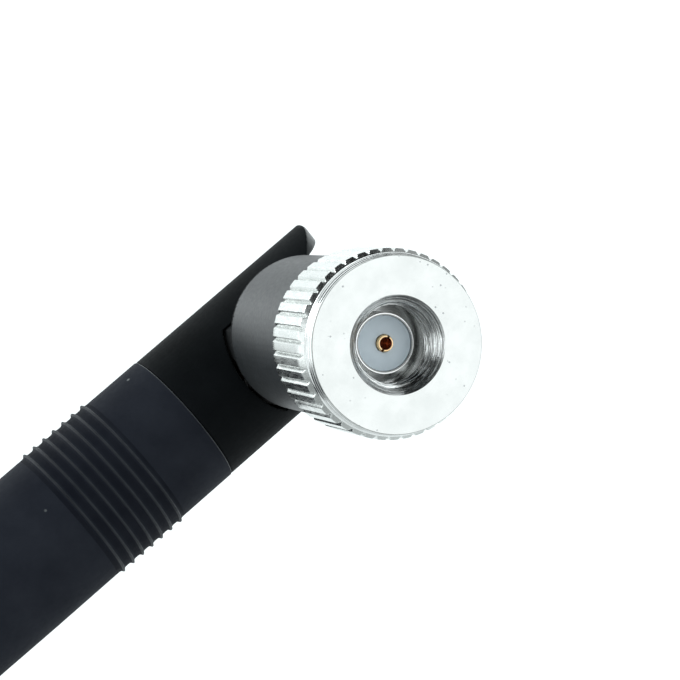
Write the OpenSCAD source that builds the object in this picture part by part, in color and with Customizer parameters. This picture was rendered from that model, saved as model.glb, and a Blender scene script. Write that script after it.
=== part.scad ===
// Tilting stick antenna with a threaded coaxial plug.
// Frame: origin on the plug's axis at the front plane of its barrel.
// -Y points out of the plug, +Z runs up the whip, X is the tilt axis.
// The antenna is drawn folded to a right angle. All sizes in millimetres.

/* [Coupling nut] */
// Distance from the barrel's front plane forward to the nut's front face
nut_front = 2.9; // [2.6:0.05:3.2]
// Length of the nut along the plug's axis
nut_len = 8.5; // [8.4:0.05:8.6]
// Diameter over the tips of the knurl
nut_d = 13.9; // [13.4:0.1:14.2]
// Diameter of the flat front face
face_d = 12.86; // [12.4:0.02:12.9]
// Diameter of the smooth collar in front of the knurl
collar_d = 13.3; // [12.96:0.02:13.36]
// Number of knurl teeth
teeth = 44; // [40:1:48]
// Depth of the grooves between the teeth
tooth_depth = 0.27; // [0.2:0.01:0.3]
// Diameter of the threaded hole
thread_d = 6.35; // [6.35:0.01:6.4]
// Diameter of the countersink at the mouth
mouth_d = 7.2; // [7:0.05:7.4]

/* [Plug body] */
// Outer diameter of the barrel
barrel_d = 4.54; // [4.5:0.01:4.58]
// Diameter of the barrel's bore
barrel_bore = 4.1; // [4.08:0.01:4.14]
// Diameter of the tail that carries the elbow
tail_d = 4.8; // [4.7:0.05:4.9]
// Diameter of the snap ridge round the tail
ridge_d = 5.5; // [5.4:0.05:5.6]

/* [Centre contact] */
// Outer diameter of the slotted socket
contact_d = 1.27; // [1.25:0.01:1.29]
// Bore of the slotted socket
contact_bore = 0.94; // [0.92:0.01:0.96]
// How far the socket stands out of the insulator
contact_proud = 0.36; // [0.3:0.02:0.4]

/* [Elbow] */
// Diameter of the elbow
elbow_d = 12.5; // [12.4:0.05:12.6]
// Distance from the origin to the elbow's shoulder
shoulder_y = 19.95; // [19.9:0.01:20]
// Thickness of the tongue between the ears
tongue_t = 8.2; // [8.1:0.05:8.25]
// Radius of the tongue's round end
tongue_r = 6.5; // [6.3:0.05:6.6]
// Width of the cable slot through the tongue
slot_w = 2.6; // [2.4:0.1:2.8]

/* [Tilt hinge] */
// Distance from the origin to the tilt axis
pivot_y = 26.2; // [26.15:0.01:26.25]
// Height of the tilt axis above the plug's axis
pivot_z = -0.7; // [-0.75:0.01:-0.65]
// Distance from the origin to the whip's axis
whip_y = 25.5; // [25.45:0.01:25.55]
// Diameter of the pivot bosses
boss_d = 4.4; // [4.2:0.05:4.6]
// Radius of the ears' round ends
ear_r = 6.0; // [5.9:0.05:6.05]
// Width of the slot between the ears
ear_gap = 8.4; // [8.35:0.05:8.45]
// Height of the slot's front edge above the plug's axis
saddle_z = 6.5; // [6.45:0.05:6.6]

/* [Whip] */
// Diameter of the fork
fork_d = 11.9; // [11.8:0.02:11.94]
// Height of the seam between fork and radome
seam_z = 11.2; // [11:0.1:11.6]
// Outer diameter of the radome
radome_d = 11.98; // [11.9:0.02:12.1]
// Height of a rib above the radome's surface
rib_h = 0.23; // [0.1:0.01:0.25]
// Number of ribs
ribs = 7; // [5:1:9]
// Height of the first rib above the plug's axis
rib_z = 16.93; // [16.5:0.01:17.2]
// Distance between ribs
rib_pitch = 1.01; // [1:0.01:1.04]
// Height of the whip's tip above the plug's axis
tip_z = 165.2; // [165:0.1:166]
// Diameter of the radome just under its round tip
tip_d = 9.8; // [9.6:0.1:10]
// Wall thickness of the radome
wall = 1.0; // [0.9:0.05:1]

/* [Cable and radiator] */
// Diameter of the cable's jacket
jacket_d = 1.8; // [1.7:0.05:1.82]
// Radius of the cable's bend at the hinge
bend_r = 4.6; // [4.4:0.1:4.8]
// Height of the feed point
feed_z = 62; // [60:1:64]
// Length of the dipole's metal sleeve
sleeve_len = 28; // [26:1:30]
// Turns of the phasing coil
coil_turns = 5; // [4:1:6]

/* [Hidden] */
nf = -nut_front;          // front face of the nut
nr = nf + nut_len;        // rear face of the nut
gap = 0.02;               // between parts that touch
elbow_y = nr + 0.25;      // front face of the elbow
ferrule_y = 12.8;         // front end of the crimp ferrule
slot_turn = -26.6;           // turn of the socket's slots about the plug's axis
braid_r = 0.68;
foam_r = 0.42;
core_r = 0.16;
face_y = 0.12;            // front face of the insulator, just inside the barrel
wire_r = 0.5;
coil_r = 2.1;
coil_z = 92;
coil_h = 12;
wire_top = 152;
taper_z = 30;             // where the radome starts to narrow
dome_h = 5.2;             // length of the radome's round tip

// ---- helpers ----

// lays a solid drawn up the Z axis along +Y
module along_y() { rotate([-90, 0, 0]) children(); }

// solid of revolution about the plug's axis, from [radius, y] points
module turned_y(pts, n = 96) { along_y() rotate_extrude($fn = n) polygon(pts); }

// solid of revolution about the whip's axis, from [radius, z] points
module turned_z(pts, n = 96) { translate([0, whip_y, 0]) rotate_extrude($fn = n) polygon(pts); }

module ring_y(r1, r2, y1, y2) { turned_y([[r1, y1], [r2, y1], [r2, y2], [r1, y2]]); }
module ring_z(r1, r2, z1, z2) { turned_z([[r1, z1], [r2, z1], [r2, z2], [r1, z2]]); }

// an outline drawn in Y and Z, given thickness along X from x1 to x2
module slab_x(x1, x2) { translate([x1, 0, 0]) rotate([90, 0, 90]) linear_extrude(x2 - x1) children(); }

// a cylinder along the tilt axis
module pivot_cyl(r, x1, x2) { translate([x1, pivot_y, pivot_z]) rotate([0, 90, 0]) cylinder(r = r, h = x2 - x1, $fn = 72); }

// the cable's quarter bend through the hinge, for one layer of the cable
module cable_bend(r1, r2) {
    translate([0, whip_y - bend_r, bend_r]) rotate([0, 90, 0]) rotate_extrude(angle = 90, $fn = 96)
        translate([bend_r, 0]) difference() {
            circle(r = r2, $fn = 48);
            if (r1 > 0) circle(r = r1, $fn = 48);
        }
}

// one layer of the cable from y1 on the plug's axis to z2 on the whip's axis
module cable_layer(r1, r2, y1, z2) {
    ring_y(r1, r2, y1, whip_y - bend_r);
    cable_bend(r1, r2);
    ring_z(r1, r2, bend_r, z2);
}

// ---- plug ----

// knurl outline: flat-topped teeth with narrow V grooves between them
function knurl_outline() = [for (i = [0:teeth - 1], k = [0:2])
    let (a = (i + [-0.19, 0, 0.19][k]) * 360 / teeth,
         r = nut_d / 2 - (k == 1 ? tooth_depth : 0))
    [r * cos(a), r * sin(a)]];

module coupling_nut() color([0.86, 0.88, 0.87]) {
    k1 = nf + 1.24;
    difference() {
        union() {
            turned_y([[2, nf], [face_d / 2, nf], [collar_d / 2 - 0.06, nf + 1.0],
                      [collar_d / 2, nf + 1.08], [collar_d / 2, nf + 1.16],
                      [collar_d / 2 - 0.08, nf + 1.2], [collar_d / 2 - 0.08, nf + 1.5], [2, nf + 1.5]]);
            intersection() {
                along_y() translate([0, 0, k1]) linear_extrude(nr - k1) polygon(knurl_outline());
                turned_y([[0, k1 - 1], [collar_d / 2 - 0.1, k1 - 1], [collar_d / 2 - 0.1, k1],
                          [nut_d / 2 + 0.02, k1 + 0.42], [nut_d / 2 + 0.02, nr - 0.34],
                          [nut_d / 2 - 0.34, nr], [0, nr]]);
            }
        }
        // countersink, threaded hole, flange chamber, ring groove and rear bore
        turned_y([[0, nf - 1], [mouth_d / 2 + 0.3, nf - 1], [mouth_d / 2 + 0.3, nf - 0.3],
                  [mouth_d / 2, nf], [thread_d / 2, nf + 0.42], [thread_d / 2, -0.12],
                  [thread_d / 2 + 0.25, 0.13], [thread_d / 2 + 0.25, 3.72],
                  [tail_d / 2 + 0.08, 3.72], [tail_d / 2 + 0.08, 4.2], [3.0, 4.2], [3.0, 4.8],
                  [tail_d / 2 + 0.08, 4.8], [tail_d / 2 + 0.08, nr - 0.2],
                  [tail_d / 2 + 0.3, nr], [tail_d / 2 + 0.3, nr + 1], [0, nr + 1]]);
    }
}

// split snap ring that keeps the nut on the plug body and lets it spin
module retaining_ring() color([0.72, 0.72, 0.7]) difference() {
    ring_y(2.1, 2.92, 4.28, 4.72);
    translate([-0.5, 4, 1.5]) cube([1, 1, 2]);
}

module plug_body() color([0.8, 0.8, 0.78]) difference() {
    // barrel, stop flange, neck with ring groove, tail with snap ridge, braid spigot
    turned_y([[0, 0], [barrel_d / 2 - 0.05, 0], [barrel_d / 2, 0.05], [barrel_d / 2, 2.95],
              [3.15, 2.95], [3.15, 3.6], [tail_d / 2, 3.6], [tail_d / 2, 4.25], [2.08, 4.25],
              [2.08, 4.75], [tail_d / 2, 4.75], [tail_d / 2, 8.9], [ridge_d / 2, 9.3],
              [ridge_d / 2, 9.7], [tail_d / 2, 10.1], [tail_d / 2, 12.1],
              [tail_d / 2 - 0.3, 12.4], [1.2, 12.4], [1.2, 16.2], [0, 16.2]]);
    turned_y([[0, -1], [barrel_bore / 2, -1], [barrel_bore / 2, 8.3], [0.5, 8.3], [0.5, 17], [0, 17]]);
}

module front_insulator() color([0.64, 0.68, 0.72]) difference() {
    turned_y([[0, face_y], [barrel_bore / 2 - gap, face_y], [barrel_bore / 2 - gap, 4.4], [0, 4.4]]);
    turned_y([[0, -1], [contact_d / 2 + gap, -1], [contact_d / 2 + gap, 5], [0, 5]]);
}

module rear_insulator() color([0.92, 0.92, 0.9]) difference() {
    turned_y([[0, 4.4 + gap], [barrel_bore / 2 - gap, 4.4 + gap], [barrel_bore / 2 - gap, 8.28], [0, 8.28]]);
    turned_y([[0, 4], [0.98, 4], [0.98, 5.02], [contact_d / 2 + gap, 5.02], [contact_d / 2 + gap, 9], [0, 9]]);
}

// gold socket with two slots, a locating shoulder and a solder cup
module centre_contact() color([0.85, 0.66, 0.3]) {
    tip = face_y - contact_proud;
    difference() {
        turned_y([[0, tip], [contact_d / 2 - 0.08, tip], [contact_d / 2, tip + 0.22], [contact_d / 2, 4.44],
                  [0.95, 4.44], [0.95, 5.0], [contact_d / 2, 5.0], [contact_d / 2, 8.2], [0, 8.2]], 48);
        turned_y([[0, tip - 1], [contact_bore / 2 + 0.02, tip - 1], [contact_bore / 2 + 0.02, tip - 0.02],
                  [contact_bore / 2, tip], [contact_bore / 2, 2.5], [0, 2.8]], 48);
        turned_y([[0, 7.0], [core_r + gap, 7.0], [core_r + gap, 9], [0, 9]], 48);
        rotate([0, slot_turn, 0]) translate([-0.09, tip - 1, -1]) cube([0.18, 1 + 2.0 - tip, 2]);
    }
}

// ferrule that crimps the braid on the plug body's spigot
module crimp_ferrule() color([0.78, 0.78, 0.76])
    turned_y([[1.52, ferrule_y], [1.95, ferrule_y], [1.95, 16.7], [1.3, 17.3], [1.3, 18.4],
              [jacket_d / 2 + gap, 18.4], [jacket_d / 2 + gap, 17.1], [1.52, 16.6]]);

// ---- elbow ----

module elbow() color([0.13, 0.14, 0.15]) difference() {
    union() {
        turned_y([[0, elbow_y], [elbow_d / 2 - 0.3, elbow_y], [elbow_d / 2, elbow_y + 0.3],
                  [elbow_d / 2, shoulder_y - 0.25], [elbow_d / 2 - 0.08, shoulder_y - 0.07],
                  [elbow_d / 2 - 0.25, shoulder_y], [0, shoulder_y]]);
        intersection() {
            slab_x(-tongue_t / 2, tongue_t / 2) union() {
                translate([shoulder_y - 1, -elbow_d]) square([pivot_y - shoulder_y + 1, elbow_d + pivot_z + tongue_r]);
                translate([pivot_y, pivot_z]) circle(r = tongue_r, $fn = 96);
            }
            ring_y(0, elbow_d / 2 - 0.05, shoulder_y - 1, pivot_y + 12);
        }
    }
    // bore for the tail with the groove for its ridge, ferrule chamber, cable hole
    turned_y([[0, elbow_y - 1], [tail_d / 2 + 0.06, elbow_y - 1], [tail_d / 2 + 0.06, 8.84],
              [ridge_d / 2 + 0.06, 9.26], [ridge_d / 2 + 0.06, 9.74], [tail_d / 2 + 0.06, 10.16],
              [tail_d / 2 + 0.06, 12.6], [2.15, 12.6], [2.15, 18.8], [1.1, 19.3],
              [1.1, pivot_y + 12], [0, pivot_y + 12]]);
    // cable slot, open above and behind
    translate([-slot_w / 2, shoulder_y + 0.45, -1.3]) cube([slot_w, 20, 20]);
    // sockets for the pivot bosses
    pivot_cyl(boss_d / 2 + 0.06, slot_w / 2, tongue_t);
    pivot_cyl(boss_d / 2 + 0.06, -tongue_t, -slot_w / 2);
}

// ---- whip ----

module fork() color([0.1, 0.11, 0.12]) difference() {
    union() {
        difference() {
            intersection() {
                ring_z(0, fork_d / 2, pivot_z - 12, seam_z);
                union() {
                    slab_x(-10, 10) translate([pivot_y - 12, pivot_z]) square([24, 24]);
                    // round ends of the ears, with softened outer edges
                    translate([0, pivot_y, pivot_z]) rotate([0, 90, 0]) rotate_extrude($fn = 96)
                        polygon([[0, -7], [ear_r - 0.42, -7], [ear_r - 0.42, -fork_d / 2], [ear_r - 0.13, -fork_d / 2 + 0.12],
                                 [ear_r, -fork_d / 2 + 0.4], [ear_r, fork_d / 2 - 0.4], [ear_r - 0.13, fork_d / 2 - 0.12],
                                 [ear_r - 0.42, fork_d / 2], [ear_r - 0.42, 7], [0, 7]]);
                }
            }
            // slot between the ears: arched close over the elbow's barrel in front, round the tongue behind
            slab_x(-ear_gap / 2, ear_gap / 2) union() {
                translate([pivot_y - 12, pivot_z - 20]) square([24, 20]);
                translate([pivot_y, pivot_z]) circle(r = tongue_r + 0.3, $fn = 96);
            }
            intersection() {
                slab_x(-ear_gap / 2, ear_gap / 2) translate([pivot_y - 12, pivot_z - 1]) square([12, saddle_z - pivot_z + 1]);
                ring_y(0, elbow_d / 2 + 0.2, pivot_y - 14, pivot_y + 2);
            }
        }
        // spigot inside the radome, with a shallow groove at the seam
        ring_z(0, fork_d / 2 - 0.06, seam_z - 0.01, seam_z + 0.05);
        ring_z(0, radome_d / 2 - wall - 0.04, seam_z, seam_z + 4);
        pivot_cyl(boss_d / 2, slot_w / 2 + 0.4, ear_gap / 2 + 0.2);
        pivot_cyl(boss_d / 2, -ear_gap / 2 - 0.2, -slot_w / 2 - 0.4);
    }
    // cable way with a flared mouth
    turned_z([[0, saddle_z - 2], [2.2, saddle_z - 2], [2.2, saddle_z - 0.3], [1.2, saddle_z + 1.4],
              [1.2, seam_z + 5], [0, seam_z + 5]]);
}

// ribs as narrow ridges with rounded crests
function rib_points() = [for (i = [0:ribs - 1], k = [[-0.2, 0], [-0.07, 0.75], [-0.03, 1], [0.03, 1], [0.07, 0.75], [0.2, 0]])
    [radome_d / 2 + rib_h * k[1], rib_z + i * rib_pitch + k[0]]];

// quarter of a dome, from its edge to its top
function dome_points(r, z, h, from, to, step) = [for (a = [from:step:to]) [r * cos(a), z + h * sin(a)]];

module radome() color([0.09, 0.1, 0.11]) {
    z0 = seam_z + 0.06;
    zd = tip_z - dome_h;
    turned_z(concat(
        [[radome_d / 2 - wall, z0], [radome_d / 2 - 0.12, z0], [radome_d / 2, z0 + 0.12]],
        rib_points(),
        [[radome_d / 2, taper_z]],
        dome_points(tip_d / 2, zd, dome_h, 0, 90, 7.5),
        dome_points(tip_d / 2 - wall, zd, dome_h - wall, 90, 0, -7.5),
        [[radome_d / 2 - wall, taper_z]]));
}

// ---- cable through the hinge ----

module cable_jacket() color([0.45, 0.28, 0.16]) cable_layer(braid_r + 0.01, jacket_d / 2, 17.12, feed_z - 4);

// braid, flared over the spigot at one end and bared below the feed point
module cable_braid() color([0.75, 0.75, 0.74]) {
    turned_y([[1.22, ferrule_y + 0.1], [1.5, ferrule_y + 0.1], [1.5, 16.45], [braid_r, 17.0],
              [braid_r, whip_y - bend_r], [foam_r + 0.01, whip_y - bend_r],
              [foam_r + 0.01, 16.75], [1.22, 16.3]]);
    cable_bend(foam_r + 0.01, braid_r);
    ring_z(foam_r + 0.01, braid_r, bend_r, feed_z);
}

module cable_dielectric() color([0.9, 0.9, 0.88]) cable_layer(core_r + 0.01, foam_r, 8.4, feed_z + 1.1);

module cable_core() color([0.78, 0.5, 0.3]) cable_layer(0, core_r, 7.05, feed_z + 1.18);

// ---- radiator ----

module dipole_sleeve() color([0.76, 0.6, 0.28]) ring_z(2.2, 2.5, feed_z - sleeve_len, feed_z);

// ring that joins the braid to the top of the sleeve
module sleeve_collar() color([0.74, 0.74, 0.72])
    turned_z([[braid_r + 0.01, feed_z - 1.6], [2.19, feed_z - 1.6], [2.19, feed_z - 0.1], [1.1, feed_z - 0.1], [braid_r + 0.01, feed_z - 0.05]]);

module sleeve_spacer() color([0.9, 0.9, 0.88]) ring_z(2.52, 4.8, 44, 46);

module feed_insulator() color([0.9, 0.9, 0.88]) ring_z(foam_r + 0.01, 2.5, feed_z + 0.05, feed_z + 1.1);

module feed_shrink_tube() color([0.12, 0.12, 0.12]) ring_z(wire_r + 0.03, wire_r + 0.33, feed_z + 1.3, feed_z + 9);

// centre line of the radiator: straight, a phasing coil, straight again
lead = 8;                       // steps in which the wire leaves or joins the axis
turn_n = coil_turns * 16;       // steps round the coil
function ease(s) = s * s * (3 - 2 * s);
function lead_point(s, side) = let (a = -side * 100 * (1 - s * s), r = coil_r * ease(s))
    [r * cos(a), r * sin(a), -side * (3 * (1 - s) * (1 - s) + 1.2 * (1 - s))];
wire_path = concat(
    [[0, 0, feed_z + 1.2], [0, 0, coil_z - 5.2]],
    [for (i = [0:lead - 1]) lead_point(i / lead, 1) + [0, 0, coil_z]],
    [for (i = [0:turn_n]) [coil_r * cos(22.5 * i), coil_r * sin(22.5 * i), coil_z + coil_h * i / turn_n]],
    [for (i = [lead - 1:-1:0]) lead_point(i / lead, -1) + [0, 0, coil_z + coil_h]],
    [[0, 0, coil_z + coil_h + 5.2], [0, 0, wire_top]]);
path_n = len(wire_path);
// bearing of the point from the axis, carried through the leads
function bearing(i) = i < 2 ? -100 : i < 2 + lead ? -100 * (1 - pow((i - 2) / lead, 2)) :
    i <= 2 + lead + turn_n ? 22.5 * (i - 2 - lead) :
    22.5 * turn_n + 100 * (1 - pow(max(0, path_n - 3 - i) / lead, 2));
function unit(v) = v / norm(v);
function wire_dir(i) = unit(wire_path[min(i + 1, path_n - 1)] - wire_path[max(i - 1, 0)]);
function wire_ring(i, n) = let (t = wire_dir(i), a = bearing(i), q = [cos(a), sin(a), 0],
                                u = unit(q - t * (q * t)), v = cross(t, u))
    [for (k = [0:n - 1]) wire_path[i] + wire_r * (u * cos(360 * k / n) + v * sin(360 * k / n))];

module radiator_wire() color([0.78, 0.5, 0.3]) {
    n = 8;
    translate([0, whip_y, 0]) polyhedron(
        points = [for (i = [0:path_n - 1]) each wire_ring(i, n)],
        faces = concat([[for (k = [0:n - 1]) k]],
                       [for (i = [0:path_n - 2], k = [0:n - 1])
                           [i * n + k, (i + 1) * n + k, (i + 1) * n + (k + 1) % n, i * n + (k + 1) % n]],
                       [[for (k = [n - 1:-1:0]) (path_n - 1) * n + k]]));
}

module wire_spacer() color([0.9, 0.9, 0.88]) ring_z(wire_r + gap, 4.5, 78, 80);

module coil_shrink_tube() color([0.12, 0.12, 0.12]) ring_z(coil_r + wire_r + 0.06, coil_r + wire_r + 0.3, coil_z - 1, coil_z + coil_h + 1);

module top_spacer() color([0.9, 0.9, 0.88]) ring_z(wire_r + gap, 3.95, 138, 140);

module tip_pad() color([0.85, 0.85, 0.83]) turned_z([[0, wire_top + 0.3], [3.8, wire_top + 0.3], [3.8, 157.5], [0, 157.5]]);

coupling_nut();
retaining_ring();
plug_body();
front_insulator();
rear_insulator();
centre_contact();
crimp_ferrule();
elbow();
fork();
radome();
cable_jacket();
cable_braid();
cable_dielectric();
cable_core();
dipole_sleeve();
sleeve_collar();
sleeve_spacer();
feed_insulator();
feed_shrink_tube();
radiator_wire();
wire_spacer();
coil_shrink_tube();
top_spacer();
tip_pad();
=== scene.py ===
import math

import bmesh
import bpy
from mathutils import Matrix, Vector


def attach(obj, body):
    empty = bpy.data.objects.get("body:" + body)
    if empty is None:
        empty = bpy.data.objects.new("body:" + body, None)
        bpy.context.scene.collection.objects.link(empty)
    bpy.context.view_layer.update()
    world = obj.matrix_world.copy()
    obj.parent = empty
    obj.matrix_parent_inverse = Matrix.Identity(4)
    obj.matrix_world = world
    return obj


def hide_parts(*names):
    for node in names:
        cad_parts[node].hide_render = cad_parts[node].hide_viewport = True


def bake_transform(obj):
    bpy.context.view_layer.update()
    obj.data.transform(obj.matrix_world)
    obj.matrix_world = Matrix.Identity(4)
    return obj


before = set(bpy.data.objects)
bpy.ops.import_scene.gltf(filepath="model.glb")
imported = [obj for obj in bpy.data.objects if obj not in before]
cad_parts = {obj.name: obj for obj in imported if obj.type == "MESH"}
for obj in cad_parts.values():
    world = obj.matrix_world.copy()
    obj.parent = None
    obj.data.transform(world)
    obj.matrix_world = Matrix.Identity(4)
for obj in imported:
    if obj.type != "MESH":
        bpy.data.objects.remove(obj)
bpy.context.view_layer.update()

MM = 0.001
TAU = 2 * math.pi

# ---------------------------------------------------------------- camera

# The photograph's camera, solved in the row frame: its right, down and forward.
RIGHT = Vector((-0.6038, -0.3045, -0.7367))
DOWN = Vector((-0.7641, -0.0420, 0.6437))
FORWARD = Vector((-0.2269, 0.9516, -0.2073))
EYE = Vector((41.89, -165.68, 38.55)) * MM

camera_data = bpy.data.cameras.new("camera")
camera_data.sensor_width = 36.0
camera_data.lens = 36.0 * 2414.0 / 680.0
camera_data.clip_start = 0.01
camera_data.clip_end = 50.0
camera = bpy.data.objects.new("camera", camera_data)
bpy.context.scene.collection.objects.link(camera)
right = RIGHT.normalized()
back = -FORWARD.normalized()
up = back.cross(right).normalized()
right = up.cross(back).normalized()
camera.matrix_world = Matrix((
    (right.x, up.x, back.x, EYE.x),
    (right.y, up.y, back.y, EYE.y),
    (right.z, up.z, back.z, EYE.z),
    (0, 0, 0, 1)))
bpy.context.scene.camera = camera
bpy.context.scene.view_settings.view_transform = "Standard"


# ---------------------------------------------------------------- materials

class Tree:
    """A material's node tree, with short ways to add and join nodes."""

    def __init__(self, name):
        self.material = bpy.data.materials.new(name)
        self.material.use_nodes = True
        self.tree = self.material.node_tree
        self.tree.nodes.clear()
        self.out = self.node("ShaderNodeOutputMaterial")
        self.bsdf = self.node("ShaderNodeBsdfPrincipled")
        self.join(self.bsdf, "BSDF", self.out, "Surface")
        self.coords = self.node("ShaderNodeTexCoord")

    def node(self, kind, **values):
        n = self.tree.nodes.new(kind)
        for key, value in values.items():
            setattr(n, key, value)
        return n

    def join(self, a, out, b, to):
        self.tree.links.new(a.outputs[out], b.inputs[to])

    def set(self, **values):
        for key, value in values.items():
            self.bsdf.inputs[key.replace("_", " ")].default_value = value

    def mapped(self, scale):
        m = self.node("ShaderNodeMapping")
        m.inputs["Scale"].default_value = scale
        self.join(self.coords, "Object", m, "Vector")
        return m

    def noise(self, scale, detail=3.0, stretch=None, rough=0.55):
        n = self.node("ShaderNodeTexNoise")
        n.inputs["Scale"].default_value = scale
        n.inputs["Detail"].default_value = detail
        n.inputs["Roughness"].default_value = rough
        if stretch is None:
            self.join(self.coords, "Object", n, "Vector")
        else:
            self.join(self.mapped(stretch), "Vector", n, "Vector")
        return n

    def spread(self, source, low, high, a=0.3, b=0.7, out="Fac"):
        m = self.node("ShaderNodeMapRange")
        m.inputs["From Min"].default_value = a
        m.inputs["From Max"].default_value = b
        m.inputs["To Min"].default_value = low
        m.inputs["To Max"].default_value = high
        self.join(source, out, m, "Value")
        return m

    def tint(self, source, dark, light, a=0.3, b=0.7, out="Fac"):
        r = self.node("ShaderNodeValToRGB")
        r.color_ramp.elements[0].position = a
        r.color_ramp.elements[0].color = (*dark, 1)
        r.color_ramp.elements[1].position = b
        r.color_ramp.elements[1].color = (*light, 1)
        self.join(source, out, r, "Fac")
        return r

    def axis_distance(self):
        """Distance from the plug's axis."""
        parts = self.node("ShaderNodeSeparateXYZ")
        self.join(self.coords, "Object", parts, "Vector")
        flat = self.node("ShaderNodeCombineXYZ")
        self.join(parts, "X", flat, "X")
        self.join(parts, "Z", flat, "Z")
        radius = self.node("ShaderNodeVectorMath", operation="LENGTH")
        self.join(flat, "Vector", radius, "Vector")
        return radius

    def bump(self, source, depth, strength=1.0, out="Fac", under=None):
        b = self.node("ShaderNodeBump")
        b.inputs["Distance"].default_value = depth
        b.inputs["Strength"].default_value = strength
        self.join(source, out, b, "Height")
        if under is not None:
            self.join(under, "Normal", b, "Normal")
        return b


def grained(name, dark, light, rough_low, rough_high, grain, depth, patch=250.0, metallic=0.0, dust=None, **more):
    """A moulded or bare surface: slow colour patches, fine grain in the roughness and in the surface, and
    where dust is given, a colour, scattered specks of it."""
    t = Tree(name)
    t.set(Metallic=metallic, **more)
    colour = t.tint(t.noise(patch, 4.0), dark, light)
    if dust is None:
        t.join(colour, "Color", t.bsdf, "Base Color")
    else:
        cells = t.node("ShaderNodeTexVoronoi", feature="F1")
        cells.inputs["Scale"].default_value = 420.0
        t.join(t.coords, "Object", cells, "Vector")
        speck = t.spread(cells, 1.0, 0.0, 0.030, 0.075, "Distance")
        some = t.spread(t.noise(170.0, 1.0), 0.0, 1.0, 0.56, 0.60)
        both = t.node("ShaderNodeMath", operation="MULTIPLY")
        t.join(speck, "Result", both, 0)
        t.join(some, "Result", both, 1)
        mix = t.node("ShaderNodeMix", data_type="RGBA")
        mix.inputs["B"].default_value = (*dust, 1.0)
        t.join(both, "Value", mix, "Factor")
        t.join(colour, "Color", mix, "A")
        t.tree.links.new(mix.outputs["Result"], t.bsdf.inputs["Base Color"])
    t.join(t.spread(t.noise(grain * 0.4, 3.0), rough_low, rough_high), "Result", t.bsdf, "Roughness")
    t.join(t.bump(t.noise(grain, 2.0), depth), "Normal", t.bsdf, "Normal")
    return t.material


def nickel_turned(name, low=0.12, high=0.24, streaks=(9000.0, 300.0, 9000.0), depth=0.000003, pitted=0.0, tone=0.0,
                  painted_groove_shade=None):
    """Nickel plate over turned brass: cloudy tone, fine tool marks and, where it was left rough, scattered pits.
    A groove tone, where given, paints the tool marks as rings, darker in their grooves: a painted shade."""
    t = Tree(name)
    t.set(Metallic=1.0)
    cloud = t.noise(620.0, 5.0)
    dark, light = (0.78 - tone, 0.80 - tone, 0.785 - tone), (0.88 - tone, 0.895 - tone, 0.88 - tone)
    marks = t.noise(1.0, 3.0, stretch=streaks)
    if painted_groove_shade is None:
        colour = t.tint(cloud, dark, light)
    else:
        # tool marks painted as rings, darker in their grooves: painted shade
        colour = t.tint(marks, (painted_groove_shade, painted_groove_shade * 1.01, painted_groove_shade), (0.96, 0.97, 0.96), 0.40, 0.60)
    t.join(t.spread(marks, low, high), "Result", t.bsdf, "Roughness")
    surface = t.bump(marks, depth)
    if pitted:
        # a pit is a small dark fleck, sunk into the plate; only some of the cells have one
        cells = t.node("ShaderNodeTexVoronoi", feature="F1")
        cells.inputs["Scale"].default_value = 1700.0
        t.join(t.coords, "Object", cells, "Vector")
        pit = t.spread(cells, 0.0, 1.0, 0.03, 0.16, "Distance")
        where = t.spread(t.noise(900.0, 2.0), 0.0, 1.0, 0.60 - pitted, 0.68 - pitted)
        both = t.node("ShaderNodeMath", operation="MAXIMUM")
        t.join(pit, "Result", both, 0)
        keep = t.node("ShaderNodeMath", operation="SUBTRACT")
        keep.inputs[0].default_value = 1.0
        t.join(where, "Result", keep, 1)
        t.join(keep, "Value", both, 1)
        mix = t.node("ShaderNodeMix", data_type="RGBA", blend_type="MULTIPLY")
        mix.inputs["Factor"].default_value = 1.0
        t.join(colour, "Color", mix, "A")
        t.join(t.tint(both, (0.34, 0.36, 0.38), (1.0, 1.0, 1.0), 0.0, 1.0, out="Value"), "Color", mix, "B")
        t.tree.links.new(mix.outputs["Result"], t.bsdf.inputs["Base Color"])
        t.join(t.bump(both, 0.000010, out="Value", under=surface), "Normal", t.bsdf, "Normal")
    else:
        t.join(colour, "Color", t.bsdf, "Base Color")
        t.join(surface, "Normal", t.bsdf, "Normal")
    return t.material


def nickel_smooth(name="nickel_smooth"):
    t = Tree(name)
    t.set(Metallic=1.0)
    plate = t.tint(t.noise(500.0, 4.0), (0.90, 0.91, 0.90), (0.98, 0.98, 0.97))
    # the barrel's end face is duller than the rest, up to 0.13 mm from its outer edge
    parts = t.node("ShaderNodeSeparateXYZ")
    t.join(t.coords, "Object", parts, "Vector")
    inside = t.spread(t.axis_distance(), 1.0, 0.0, 0.00213, 0.00215, "Value")
    front = t.spread(parts, 1.0, 0.0, 0.00002, 0.00006, "Y")
    dull = t.node("ShaderNodeMath", operation="MULTIPLY")
    t.join(inside, "Result", dull, 0)
    t.join(front, "Result", dull, 1)
    mix = t.node("ShaderNodeMix", data_type="RGBA")
    t.join(dull, "Value", mix, "Factor")
    t.join(plate, "Color", mix, "A")
    mix.inputs["B"].default_value = (0.26, 0.27, 0.27, 1.0)
    t.tree.links.new(mix.outputs["Result"], t.bsdf.inputs["Base Color"])
    rings = t.noise(1.0, 2.0, stretch=(300.0, 9000.0, 300.0))
    t.join(t.spread(rings, 0.16, 0.3), "Result", t.bsdf, "Roughness")
    t.join(t.bump(rings, 0.000006), "Normal", t.bsdf, "Normal")
    return t.material


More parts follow.
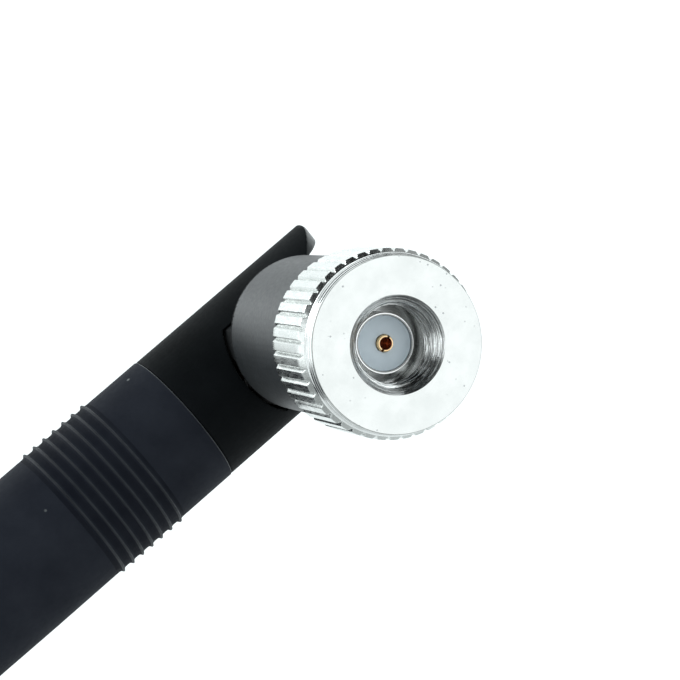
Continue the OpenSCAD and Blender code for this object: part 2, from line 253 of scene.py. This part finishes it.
def gold_plated(name):
    """Gold plate, dull and reddish inside the contact's bore, where it is thin."""
    t = Tree(name)
    t.set(Metallic=1.0)
    mix = t.node("ShaderNodeMix", data_type="RGBA")
    t.join(t.spread(t.axis_distance(), 1.0, 0.0, 0.00048, 0.00049, "Value"), "Result", mix, "Factor")
    t.join(t.tint(t.noise(1500.0, 4.0), (0.90, 0.60, 0.30), (1.0, 0.74, 0.42)), "Color", mix, "A")
    t.join(t.tint(t.noise(2600.0, 3.0), (0.70, 0.42, 0.30), (0.82, 0.52, 0.38)), "Color", mix, "B")
    t.tree.links.new(mix.outputs["Result"], t.bsdf.inputs["Base Color"])
    t.join(t.spread(t.noise(2800.0, 3.0), 0.14, 0.26), "Result", t.bsdf, "Roughness")
    t.join(t.bump(t.noise(7000.0, 2.0), 0.000004), "Normal", t.bsdf, "Normal")
    return t.material


def braided(name):
    """Fine silvered wire, woven: two sets of crossing ridges."""
    t = Tree(name)
    t.set(Metallic=1.0)
    t.join(t.tint(t.noise(900.0), (0.5, 0.5, 0.49), (0.78, 0.78, 0.76)), "Color", t.bsdf, "Base Color")
    w1 = t.node("ShaderNodeTexWave")
    w1.inputs["Scale"].default_value = 1.0
    w1.inputs["Distortion"].default_value = 0.6
    t.join(t.mapped((900.0, 900.0, 900.0)), "Vector", w1, "Vector")
    t.join(t.spread(t.noise(3000.0), 0.25, 0.5), "Result", t.bsdf, "Roughness")
    t.join(t.bump(w1, 0.00003), "Normal", t.bsdf, "Normal")
    return t.material


nickel_face = nickel_turned("nickel_face", 0.16, 0.26, (500.0, 500.0, 500.0), 0.0000015, pitted=0.10)
nickel_knurl = nickel_turned("nickel_knurl", 0.20, 0.34, (5200.0, 900.0, 5200.0), 0.000004, pitted=0.04, tone=0.09)
# the collar's turned rings painted darker in their grooves: painted shade
nickel_collar = nickel_turned("nickel_collar", 0.10, 0.22, (240.0, 9000.0, 240.0), 0.000005, painted_groove_shade=0.62)
# darker nickel on the face's bevel: a painted shade that draws it as a grey line
nickel_edge_painted_shade = nickel_turned("nickel_edge_painted_shade", 0.25, 0.40, (900.0, 900.0, 900.0), 0.000004, tone=0.42)
# the thread's tool marks painted dark in their grooves: painted shade inside the bore
nickel_thread = nickel_turned("nickel_thread", 0.04, 0.16, (300.0, 13000.0, 300.0), 0.000070, pitted=0.14,
                              painted_groove_shade=0.30)
nickel_plain = nickel_smooth()
spring = grained("spring_steel", (0.42, 0.42, 0.41), (0.58, 0.58, 0.57), 0.25, 0.42, 6000.0, 0.000004, metallic=1.0)
gold = gold_plated("gold_plate")
ptfe = grained("ptfe", (0.57, 0.65, 0.71), (0.63, 0.71, 0.77), 0.42, 0.6, 4000.0, 0.000008, patch=900.0)
elbow_black = grained("elbow_black", (0.009, 0.0115, 0.014), (0.017, 0.0205, 0.024), 0.40, 0.50, 8500.0, 0.0000052,
                      patch=900.0, IOR=1.43, Sheen_Weight=0.05, Sheen_Roughness=0.30)
fork_black = grained("fork_black", (0.0026, 0.0034, 0.0040), (0.0050, 0.0062, 0.0072), 0.66, 0.78, 7000.0, 0.000004,
                     IOR=1.14, Sheen_Weight=0.045, Sheen_Roughness=0.35)
# lighter than the fork: a painted highlight on the ears' round ends, with a glossier finish
fork_end_painted_highlight = grained("fork_end_painted_highlight", (0.012, 0.014, 0.0145), (0.020, 0.023, 0.024), 0.30, 0.42, 7000.0, 0.000003, IOR=1.45)
radome_black = grained("radome_black", (0.0092, 0.0110, 0.0164), (0.0154, 0.0178, 0.0244), 0.68, 0.80, 6000.0, 0.000006,
                       IOR=1.16, Sheen_Weight=0.02, Sheen_Roughness=0.35, dust=(0.16, 0.17, 0.17))
# tones for the ribs: the lighter crest tone is a painted highlight, the darker groove tones are painted shade
radome_crest_painted_highlight = grained("radome_crest_painted_highlight", (0.0145, 0.0172, 0.022), (0.027, 0.0305, 0.037), 0.50, 0.64, 5000.0, 0.000007,
                      patch=420.0, IOR=1.3)
# a lighter tone for the seam's lip: a painted highlight
radome_lip_painted_highlight = grained("radome_lip_painted_highlight", (0.030, 0.034, 0.038), (0.062, 0.067, 0.073), 0.45, 0.60, 5000.0, 0.000007,
                     patch=300.0)
radome_groove_painted_shade = grained("radome_groove_painted_shade", (0.0054, 0.0065, 0.0105), (0.0088, 0.0104, 0.0150), 0.66, 0.80, 5000.0, 0.000006,
                      patch=420.0, IOR=1.14)
radome_groove_painted_half_shade = grained("radome_groove_painted_half_shade", (0.0074, 0.0089, 0.0136), (0.0118, 0.0139, 0.0194), 0.66, 0.80, 5000.0, 0.000006,
                      patch=420.0, IOR=1.15)
jacket_brown = grained("jacket_brown", (0.040, 0.018, 0.010), (0.070, 0.030, 0.016), 0.22, 0.34, 3000.0, 0.000004)
braid_silver = braided("braid_silver")
copper = grained("copper", (0.72, 0.36, 0.22), (0.88, 0.50, 0.34), 0.2, 0.36, 5000.0, 0.000003, metallic=1.0)
brass = grained("brass", (0.62, 0.45, 0.19), (0.78, 0.60, 0.30), 0.2, 0.38, 5000.0, 0.000003, metallic=1.0)
solder = grained("solder", (0.52, 0.52, 0.51), (0.68, 0.68, 0.67), 0.22, 0.4, 3000.0, 0.00001, metallic=1.0)
white_plastic = grained("white_plastic", (0.70, 0.70, 0.67), (0.80, 0.80, 0.78), 0.4, 0.55, 4000.0, 0.000006)
shrink = grained("shrink_tube", (0.015, 0.015, 0.015), (0.028, 0.028, 0.028), 0.35, 0.5, 3600.0, 0.00001)
foam = grained("foam", (0.62, 0.62, 0.58), (0.78, 0.78, 0.74), 0.8, 0.95, 2600.0, 0.00012)


# ---------------------------------------------------------------- mesh helpers

def make(name, verts, faces, material, body, nodes=(), smooth_deg=32.0):
    """A piece from its corners, in millimetres, and faces."""
    mesh = bpy.data.meshes.new(name)
    mesh.from_pydata([(x * MM, y * MM, z * MM) for x, y, z in verts], [], faces)
    mesh.validate()
    bm = bmesh.new()
    bm.from_mesh(mesh)
    bmesh.ops.remove_doubles(bm, verts=bm.verts, dist=1e-8)
    bmesh.ops.recalc_face_normals(bm, faces=bm.faces)
    bm.to_mesh(mesh)
    bm.free()
    mesh.shade_smooth()
    mesh.set_sharp_from_angle(angle=math.radians(smooth_deg))
    mesh.materials.append(material)
    piece = bpy.data.objects.new(name, mesh)
    bpy.context.scene.collection.objects.link(piece)
    if body is not None:
        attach(piece, body)
    if nodes:
        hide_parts(*nodes)
    return piece


def round_corners(points, radius, steps=3):
    """A closed outline with each corner rounded; radius may be a list, one for each corner."""
    n = len(points)
    out = []
    for i, p in enumerate(points):
        r = radius[i] if isinstance(radius, (list, tuple)) else radius
        a, b = points[i - 1], points[(i + 1) % n]
        if not r:
            out.append(tuple(p))
            continue
        va, vb = Vector(a) - Vector(p), Vector(b) - Vector(p)
        r = min(r, va.length * 0.45, vb.length * 0.45)
        s, e = Vector(p) + va.normalized() * r, Vector(p) + vb.normalized() * r
        for k in range(steps + 1):
            t = k / steps
            q = s * (1 - t) ** 2 + Vector(p) * 2 * t * (1 - t) + e * t * t
            out.append((q.x, q.y))
    return out


def lathe_y(outline, n, centre=(0.0, 0.0)):
    """Corners and faces of a ring turned about an axis along Y. outline: closed, of (radius, y)."""
    verts, faces = [], []
    m = len(outline)
    for r, y in outline:
        for k in range(n):
            a = TAU * k / n
            verts.append((centre[0] + r * math.cos(a), y, centre[1] - r * math.sin(a)))
    for j in range(m):
        for k in range(n):
            faces.append((j * n + k, j * n + (k + 1) % n, ((j + 1) % m) * n + (k + 1) % n, ((j + 1) % m) * n + k))
    return verts, faces


# ---------------------------------------------------------------- coupling nut

NF, NR = -2.9, 5.6
TEETH, TIP, GROOVE = 44, 6.95, 0.27
MAJOR, MINOR, PITCH = 3.175, 2.86, 25.4 / 36


def tooth_radius(f):
    """Radius of the knurl at this fraction of a tooth's pitch: a flat top and a narrow V."""
    d = abs(f - 0.5)
    if d < 0.17:
        return TIP - GROOVE + 0.02 + (GROOVE - 0.05) * d / 0.17
    if d < 0.22:
        t = (d - 0.17) / 0.05
        return TIP - 0.03 * (1 - t) ** 2
    return TIP


def thread_radius(angle, y):
    """Radius of the 36 threads per inch at this angle and height."""
    f = (y / PITCH - angle / TAU) % 1.0
    d = abs(f - 0.5) * PITCH                       # distance from the middle of the crest
    crest, flank = 0.08, 0.185
    if d < crest:
        return MINOR
    if d < crest + flank:
        return MINOR + (MAJOR - MINOR) * (d - crest) / flank
    return MAJOR


def nut():
    fractions = (0.0, 0.16, 0.285, 0.33, 0.415, 0.5, 0.585, 0.67, 0.715, 0.84)
    angles = [TAU * (i + f + 0.5) / TEETH for i in range(TEETH) for f in fractions]
    tops = [tooth_radius(f) for _ in range(TEETH) for f in fractions]
    rows = []                                       # each row: (r, y) for every column
    finish = []                                     # the finish of the strip that starts at that row
    FACE, COLLAR, KNURL, THREAD, EDGE_SHADE = range(5)

    def plain(r, y, kind):
        rows.append([(r, y)] * len(angles))
        finish.append(kind)

    def knurled(r, y):
        rows.append([(min(r, top), y) for top in tops])
        finish.append(KNURL)

    for r, y in ((3.600, NF + 0.012), (3.615, NF), (3.65, NF), (4.6, NF), (5.6, NF), (6.35, NF)):
        plain(r, y, FACE)
    # the face's bevel, painted darker: painted shade
    plain(6.385, NF, EDGE_SHADE)
    plain(6.42, NF + 0.01, EDGE_SHADE)
    # collar: a cone with three fine turned steps, then a bead
    for r, y in ((6.435, 0.04), (6.438, 0.22), (6.446, 0.26), (6.488, 0.31), (6.496, 0.35), (6.499, 0.52),
                 (6.507, 0.56), (6.549, 0.61), (6.557, 0.65), (6.560, 0.82), (6.568, 0.86), (6.618, 0.93), (6.640, 0.99),
                 (6.650, 1.06), (6.650, 1.12), (6.635, 1.17), (6.585, 1.21)):
        plain(r, NF + y, COLLAR)
    plain(6.56, NF + 1.23, KNURL)
    for k in range(10):
        knurled(6.565 + 0.42 * k / 9, NF + 1.24 + 0.42 * k / 9)
    for k in range(1, 12):
        knurled(7.0, NF + 1.70 + (NR - 0.38 - NF - 1.70) * k / 12)
    for k in range(9):
        knurled(6.985 - 0.375 * k / 8, NR - 0.365 + 0.35 * k / 8)
    for r, y in ((6.58, NR), (5.0, NR), (2.80, NR), (2.76, NR - 0.01), (2.50, NR - 0.2), (2.48, NR - 0.24), (2.48, 4.8),
                 (3.0, 4.8), (3.0, 4.2), (2.48, 4.2), (2.48, 3.72), (3.425, 3.72), (3.425, 0.13), (3.30, 0.005)):
        plain(r, y, COLLAR)
    count = 112
    start, end = -0.12, NF + 0.03
    for k in range(count + 1):
        y = start + (end - start) * k / count
        # the thread fades in at its inner end, where the tool ran out
        fade = min(1.0, (start - y) / 0.12)
        row = []
        for a in angles:
            r = thread_radius(a, y)
            r = MAJOR + 0.04 * (1 - fade) - (MAJOR - r) * fade
            if y < NF + 0.78:
                # countersink: it cuts the crests back, and meets the root at 3.175
                r = max(r, MINOR + max(0.0, NF + 0.75 - y) * (3.6 - MINOR) / 0.75)
            row.append((r, y))
        rows.append(row)
        finish.append(THREAD)
    n = len(angles)
    verts = [(r * math.cos(a), y, -r * math.sin(a)) for row in rows for (r, y), a in zip(row, angles)]
    faces = []
    for j in range(len(rows)):
        j2 = (j + 1) % len(rows)
        for k in range(n):
            k2 = (k + 1) % n
            faces.append((j * n + k, j * n + k2, j2 * n + k2, j2 * n + k))
    piece = make("nut_knurled", verts, faces, nickel_face, "nut", ("coupling_nut",), smooth_deg=24.0)
    for extra in (nickel_collar, nickel_knurl, nickel_thread, nickel_edge_painted_shade):
        piece.data.materials.append(extra)
    piece.data.polygons.foreach_set("material_index", [finish[j] for j in range(len(rows)) for _ in range(n)])
    return piece


nut()


# ---------------------------------------------------------------- whip and elbow

def radome():
    """The tube with its ribs and round tip, turned about the whip's axis."""
    r, wall, z0, tip_z, dome, tip_r = 5.99, 1.0, 11.26, 165.2, 5.2, 4.9
    outline = [(r - wall, z0), (r - 0.14, z0), (r - 0.05, z0 + 0.03), (r, z0 + 0.10)]
    for i in range(7):
        for dz, h in ((-0.50, 0.0), (-0.36, 0.001), (-0.27, 0.012), (-0.18, 0.046), (-0.12, 0.100), (-0.08, 0.160),
                      (-0.03, 0.228), (0.03, 0.228), (0.08, 0.160), (0.12, 0.100), (0.18, 0.046), (0.27, 0.012),
                      (0.36, 0.001), (0.50, 0.0)):
            outline.append((r + h, 16.93 + 1.01 * i + dz))
    outline += [(r, 23.6), (r, 30.0)]
    zd = tip_z - dome
    for k in range(1, 12):
        outline.append((r + (tip_r - r) * k / 12, 30.0 + (zd - 30.0) * k / 12))
    for k in range(17):
        a = math.pi / 2 * k / 16
        outline.append((max(0.02, tip_r * math.cos(a)), zd + dome * math.sin(a)))
    for k in range(16, -1, -1):
        a = math.pi / 2 * k / 16
        outline.append((max(0.02, (tip_r - wall) * math.cos(a)), zd + (dome - wall) * math.sin(a)))
    outline.append((r - wall, 30.0))
    n, m = 176, len(outline)
    verts = [(q * math.cos(TAU * k / n), 25.5 + q * math.sin(TAU * k / n), z) for q, z in outline for k in range(n)]
    faces = [(j * n + k, j * n + (k + 1) % n, ((j + 1) % m) * n + (k + 1) % n, ((j + 1) % m) * n + k)
             for j in range(m) for k in range(n)]
    piece = make("radome_ribbed", verts, faces, radome_black, "whip", ("radome",), smooth_deg=40.0)
    for extra in (radome_lip_painted_highlight, radome_crest_painted_highlight, radome_groove_painted_shade, radome_groove_painted_half_shade):
        piece.data.materials.append(extra)
    # the seam's lip and the ribs' crests are painted lighter, a painted highlight; the grooves between the ribs are
    # painted darker, a painted shade
    kinds = []
    for j in range(m):
        (r1, z1), (r2, z2) = outline[j], outline[(j + 1) % m]
        kind = 0
        if j < 3 and r1 > 5.8:
            kind = 1
        elif min(r1, r2) > r - 0.001 and 16.3 < (z1 + z2) / 2 < 23.55:
            middle = 16.93 + 1.01 * round(((z1 + z2) / 2 - 16.93) / 1.01)
            off = abs((z1 + z2) / 2 - middle)
            # crests get the painted highlight, grooves the painted shade, darkest furthest from a crest
            kind = 2 if off < 0.11 else 0 if off < 0.17 else 4 if off < 0.25 else 3
        kinds.append(kind)
    piece.data.polygons.foreach_set("material_index", [kinds[j] for j in range(m) for _ in range(n)])
    return piece


radome()


def moulded(node, name, material, body, voxel, rounds, kept):
    """A CAD node's own shape with its edges softened, as they come out of a mould. kept: the part of the fine
    mesh's faces that stays."""
    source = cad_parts[node]
    piece = bpy.data.objects.new(name, source.data.copy())
    piece.matrix_world = source.matrix_world
    bpy.context.scene.collection.objects.link(piece)
    piece.data.materials.clear()
    piece.data.materials.append(material)
    remesh = piece.modifiers.new("remesh", "REMESH")
    remesh.mode = "VOXEL"
    remesh.voxel_size = voxel * MM
    remesh.adaptivity = 0.0
    remesh.use_smooth_shade = True
    smooth = piece.modifiers.new("smooth", "SMOOTH")
    smooth.factor = 0.5
    smooth.iterations = rounds
    thin = piece.modifiers.new("thin", "DECIMATE")
    thin.ratio = kept
    bpy.context.view_layer.update()
    done = bpy.data.meshes.new_from_object(piece.evaluated_get(bpy.context.evaluated_depsgraph_get()))
    piece.modifiers.clear()
    piece.data = done
    piece.data.name = name
    piece.data.materials.clear()
    piece.data.materials.append(material)
    piece.data.shade_smooth()
    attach(piece, body)
    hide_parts(node)
    return piece


SHOULDER = 19.35
fork_piece = moulded("fork", "fork_moulded", fork_black, "whip", 0.095, 2, 0.42)
fork_piece.data.materials.append(fork_end_painted_highlight)
for face in fork_piece.data.polygons:
    # the round ends of the ears get a glossier finish and a lighter colour, the lighter colour a painted highlight
    if face.center.z < -0.0009 and abs(face.normal.x) < 0.45:
        face.material_index = 1
elbow_piece = moulded("elbow", "elbow_moulded", elbow_black, "elbow", 0.12, 2, 0.48)
elbow_piece.data.materials.append(fork_black)
for face in elbow_piece.data.polygons:
    # the tongue, inside the slot, stays as dull as the fork
    if face.center.y > SHOULDER * MM:
        face.material_index = 1


# ---------------------------------------------------------------- plug: barrel, insulator and contact

def dress(node, material):
    """Gives a CAD node its material."""
    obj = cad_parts[node]
    obj.data.materials.clear()
    obj.data.materials.append(material)
    return obj


def insulator():
    outline = round_corners([(0.66, 0.12), (2.03, 0.12), (2.03, 4.4), (0.66, 4.4)], [0.05, 0.06, 0.0, 0.0])
    verts, faces = lathe_y(outline, 96)
    return make("insulator_face", verts, faces, ptfe, "connector", ("front_insulator",))


insulator()

for name, material in (("plug_body", nickel_plain), ("retaining_ring", spring), ("rear_insulator", ptfe),
                       ("centre_contact", gold), ("crimp_ferrule", nickel_plain), ("dipole_sleeve", brass),
                       ("sleeve_collar", solder), ("sleeve_spacer", white_plastic), ("feed_insulator", white_plastic),
                       ("feed_shrink_tube", shrink), ("radiator_wire", copper), ("wire_spacer", white_plastic),
                       ("coil_shrink_tube", shrink), ("top_spacer", white_plastic), ("tip_pad", foam)):
    dress(name, material)


# ---------------------------------------------------------------- cable

WHIP_Y, BEND = 25.5, 4.6


def cable_route(y1, z2):
    """Centre line from y1 on the plug's axis, round the bend and up to z2: (point, direction)."""
    route = []
    n = max(2, int((WHIP_Y - BEND - y1) / 0.8))
    for k in range(n):
        route.append(((y1 + (WHIP_Y - BEND - y1) * k / n, 0.0), (1.0, 0.0)))
    for k in range(25):
        a = math.pi / 2 * k / 24
        route.append(((WHIP_Y - BEND + BEND * math.sin(a), BEND - BEND * math.cos(a)), (math.cos(a), math.sin(a))))
    n = max(2, int((z2 - BEND) / 2.0))
    for k in range(1, n + 1):
        route.append(((WHIP_Y, BEND + (z2 - BEND) * k / n), (0.0, 1.0)))
    return route


def cable(name, node, r1, r2, y1, z2, material, flare=None, sides=24):
    """One layer of the cable as a tube that bends where the whip tilts."""
    route = cable_route(y1, z2)
    verts, faces = [], []
    for r_at in ((lambda p: flare(p)[1] if flare else r2), (lambda p: flare(p)[0] if flare else r1)):
        for (y, z), (dy, dz) in route:
            r = r_at((y, z))
            for k in range(sides):
                a = TAU * k / sides
                c, s = math.cos(a) * r, math.sin(a) * r
                verts.append((c, y - s * dz, z + s * dy))
    m = len(route)
    for layer in (0, 1):
        if layer and r1 <= 0:
            break
        base = layer * m * sides
        for j in range(m - 1):
            for k in range(sides):
                quad = (base + j * sides + k, base + j * sides + (k + 1) % sides,
                        base + (j + 1) * sides + (k + 1) % sides, base + (j + 1) * sides + k)
                faces.append(quad if not layer else quad[::-1])
    if r1 > 0:
        inner = m * sides
        for j in (0, m - 1):
            for k in range(sides):
                faces.append((j * sides + k, j * sides + (k + 1) % sides,
                              inner + j * sides + (k + 1) % sides, inner + j * sides + k))
    else:
        verts = verts[:m * sides]
        faces.append(tuple(range(sides)))
        faces.append(tuple((m - 1) * sides + k for k in range(sides)))
    piece = make(name, verts, faces, material, None)
    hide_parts(node)
    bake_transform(piece)
    return piece


def braid_radii(p):
    y, z = p
    if z > 0.5 or y > 17.0:
        return 0.43, 0.68
    if y < 16.3:
        return 1.22, 1.50
    t = (y - 16.3) / 0.7
    return 1.22 + (0.43 - 1.22) * min(1.0, t * 1.4), 1.50 + (0.68 - 1.50) * t


cable("cable_jacket_tube", "cable_jacket", 0.69, 0.90, 17.12, 58.0, jacket_brown, sides=32)
cable("cable_braid_tube", "cable_braid", 0.43, 0.68, 12.9, 62.0, braid_silver, flare=braid_radii)
cable("cable_dielectric_tube", "cable_dielectric", 0.17, 0.42, 8.4, 63.1, ptfe)
cable("cable_core_wire", "cable_core", 0.0, 0.16, 7.05, 63.18, copper, sides=16)


# ---------------------------------------------------------------- floor and light

def stage_floor():
    mesh = bpy.data.meshes.new("floor")
    bm = bmesh.new()
    bmesh.ops.create_grid(bm, x_segments=8, y_segments=8, size=12.0)
    bm.to_mesh(mesh)
    bm.free()
    t = Tree("floor_white")
    t.set(Roughness=0.9)
    t.join(t.tint(t.noise(2.0), (0.80, 0.80, 0.80), (0.82, 0.82, 0.82)), "Color", t.bsdf, "Base Color")
    t.set(Emission_Color=(0.93, 0.99, 1.0, 1.0), Emission_Strength=0.66)
    mesh.materials.append(t.material)
    obj = bpy.data.objects.new("floor", mesh)
    obj.location = (0, 0, -0.16)
    bpy.context.scene.collection.objects.link(obj)


stage_floor()


def softbox(name, place, target, size, glow, colour=(1.0, 1.0, 1.0), mirrored=True):
    """A rectangular light; glow is its brightness as seen, where 1 is white. mirrored: it shows in reflections."""
    data = bpy.data.lights.new(name, "AREA")
    data.shape = "RECTANGLE"
    data.size, data.size_y = size
    data.energy = glow * math.pi * size[0] * size[1]
    data.color = colour
    obj = bpy.data.objects.new(name, data)
    obj.location = place
    obj.rotation_euler = (Vector(target) - Vector(place)).to_track_quat("-Z", "Y").to_euler()
    obj.visible_glossy = mirrored
    bpy.context.scene.collection.objects.link(obj)


def square(place, half_width, half_height):
    """Corners of a card that faces the origin."""
    place = Vector(place)
    across = place.cross(Vector((0, 0, 1))).normalized()
    upward = across.cross(place).normalized()
    return [tuple(place + across * half_width * a + upward * half_height * b)
            for a, b in ((-1, -1), (1, -1), (1, 1), (-1, 1))]


def flag(name, corners, glow=0.0):
    """A dark card that only reflections see, to keep the room darker on that side, as a studio does."""
    mesh = bpy.data.meshes.new(name)
    mesh.from_pydata(corners, [], [tuple(range(len(corners)))])
    t = Tree(name)
    t.set(Roughness=1.0, Specular_IOR_Level=0.0)
    t.join(t.tint(t.noise(3.0), (0.010, 0.010, 0.010), (0.014, 0.014, 0.014)), "Color", t.bsdf, "Base Color")
    t.set(Emission_Color=(0.95, 0.99, 1.0, 1.0), Emission_Strength=glow)
    mesh.materials.append(t.material)
    obj = bpy.data.objects.new(name, mesh)
    obj.visible_camera = obj.visible_diffuse = obj.visible_shadow = obj.visible_transmission = False
    bpy.context.scene.collection.objects.link(obj)


softbox("light_front", (-0.14, -0.57, -0.12), (0, 0.0, 0.0), (0.50, 0.44), 0.98, (0.94, 0.985, 1.0), mirrored=False)
flag("card_front", square((-0.070, -0.285, -0.060), 0.125, 0.108), 1.15)
softbox("light_left", (0.36, -0.20, 0.47), (0, 0.0, 0.0), (0.40, 0.40), 1.2, (0.93, 0.985, 1.0))
softbox("light_far", (-0.47, -0.30, 0.07), (0, 0.0, 0.0), (0.26, 0.22), 1.1, (0.95, 0.99, 1.0))
softbox("light_between", (0.22, -0.44, 0.36), (0, 0.0, 0.0), (0.20, 0.20), 1.0, (0.93, 0.985, 1.0))
softbox("light_side", (0.45, -0.05, 0.10), (0, 0.02, 0.02), (0.30, 0.30), 3.2, (0.93, 0.985, 1.0), mirrored=False)
flag("flag_below", [(0.11, -1.2, -0.155), (0.9, -1.2, -0.155), (0.9, 0.10, -0.155), (0.11, 0.10, -0.155)])
flag("card_below", [(-0.6, -0.06, -0.156), (0.11, -0.06, -0.156), (0.11, 0.10, -0.156), (-0.6, 0.10, -0.156)], 0.34)
flag("card_behind", square((0.40, 0.43, 0.20), 0.12, 0.12), 8.0)
flag("flag_right", [(0.62, -0.9, -0.155), (0.62, 0.06, -0.155), (0.62, 0.06, 0.30), (0.62, -0.9, 0.30)])

# the room: white behind the object, dimmer on the camera's side
world = bpy.data.worlds.new("world")
world.use_nodes = True
tree = world.node_tree
background = tree.nodes["Background"]
coords = tree.nodes.new("ShaderNodeTexCoord")
split = tree.nodes.new("ShaderNodeSeparateXYZ")
level = tree.nodes.new("ShaderNodeMapRange")
level.interpolation_type = "SMOOTHSTEP"
level.inputs["From Min"].default_value = -0.5
level.inputs["From Max"].default_value = 0.6
level.inputs["To Min"].default_value = 0.22
level.inputs["To Max"].default_value = 1.10
tree.links.new(coords.outputs["Generated"], split.inputs["Vector"])
tree.links.new(split.outputs["Y"], level.inputs["Value"])
tree.links.new(level.outputs["Result"], background.inputs["Strength"])
background.inputs["Color"].default_value = (0.92, 0.99, 1.0, 1.0)
bpy.context.scene.world = world
